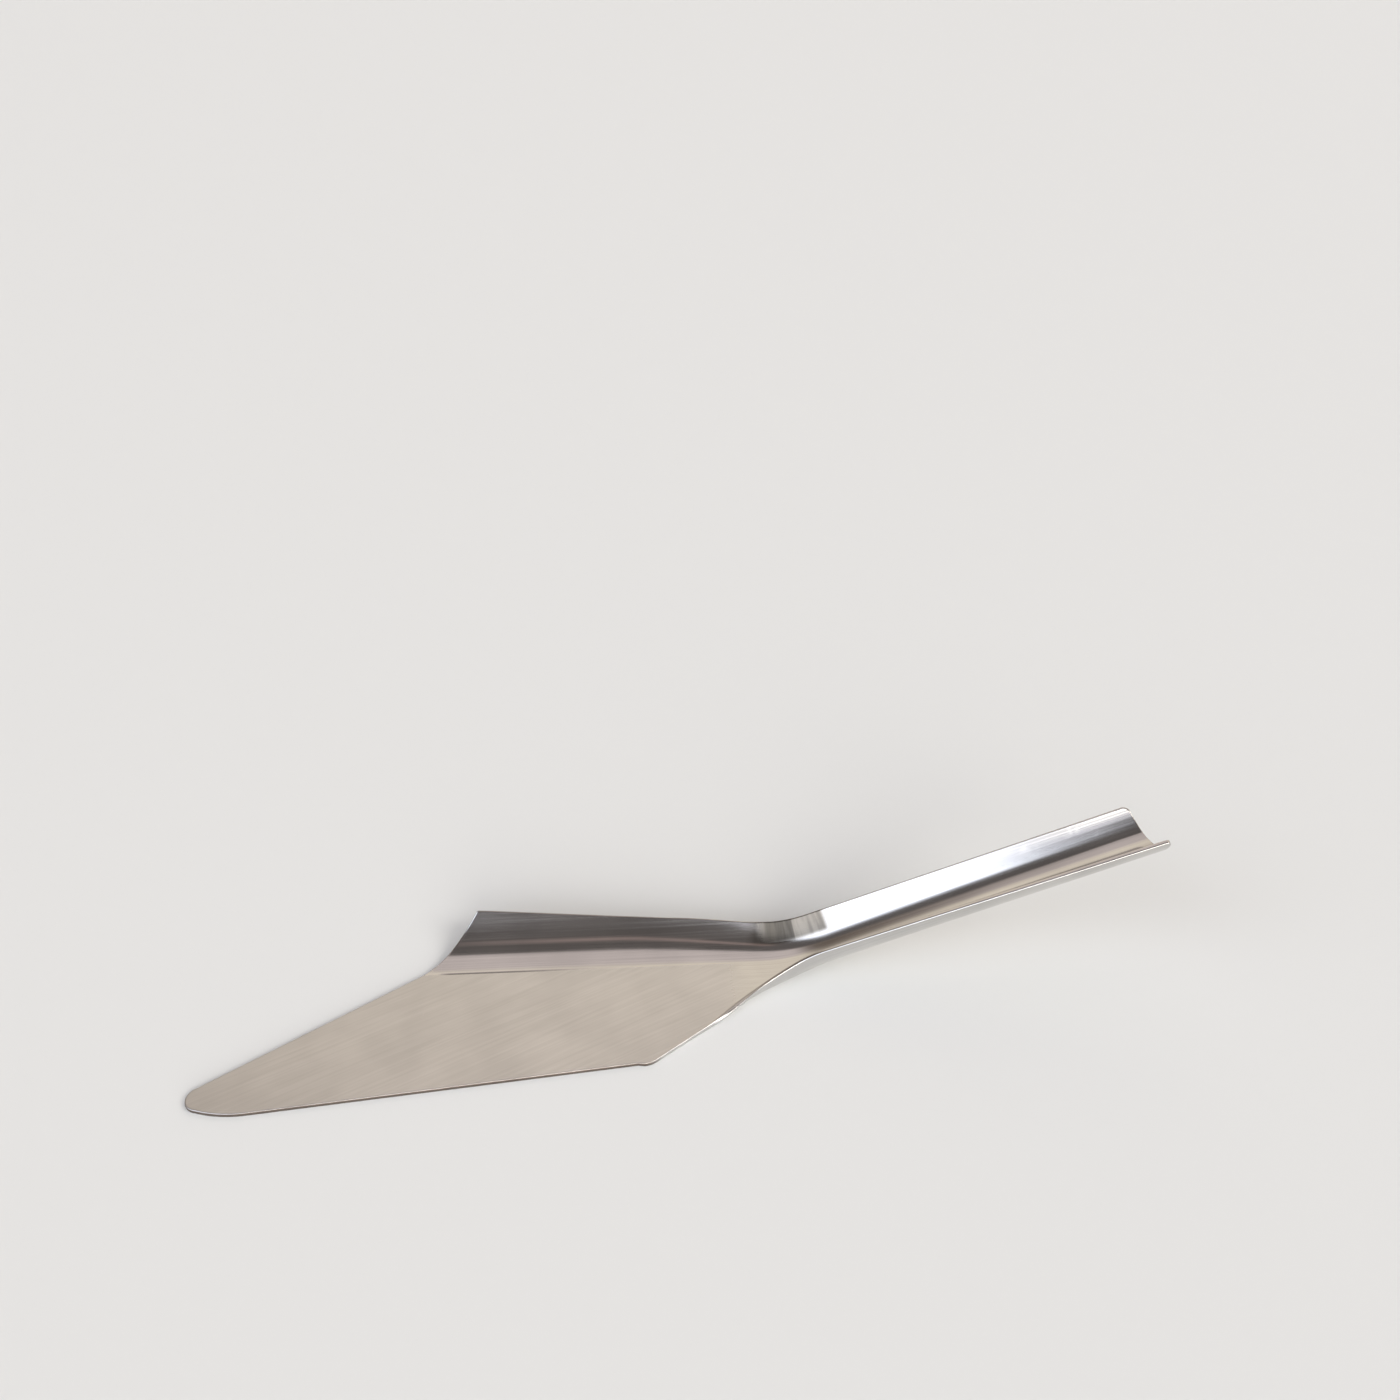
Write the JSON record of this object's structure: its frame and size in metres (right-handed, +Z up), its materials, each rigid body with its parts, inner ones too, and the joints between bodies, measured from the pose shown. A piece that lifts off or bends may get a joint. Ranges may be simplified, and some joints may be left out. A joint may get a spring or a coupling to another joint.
{
  "type": "cake server",
  "caption": "One-piece pressed steel cake server: flat pointed blade, upturned guard along the back, and a rising handle rolled into an open channel.",
  "frame": {"origin": "middle of the server's bounding box, at the height of the surface that the blade lies flat on", "axes": "+X from the blade's tip to the end of the handle, along the line where the guard turns up; +Y from the blade to the guard; +Z up"},
  "size_m": [0.2588, 0.0634, 0.0481],
  "materials": {
    "stainless": "satin polish, worn with fine scratches"
  },
  "bodies": {
    "root": {"blade_and_handle": "stainless"}
  },
  "joints": []
}
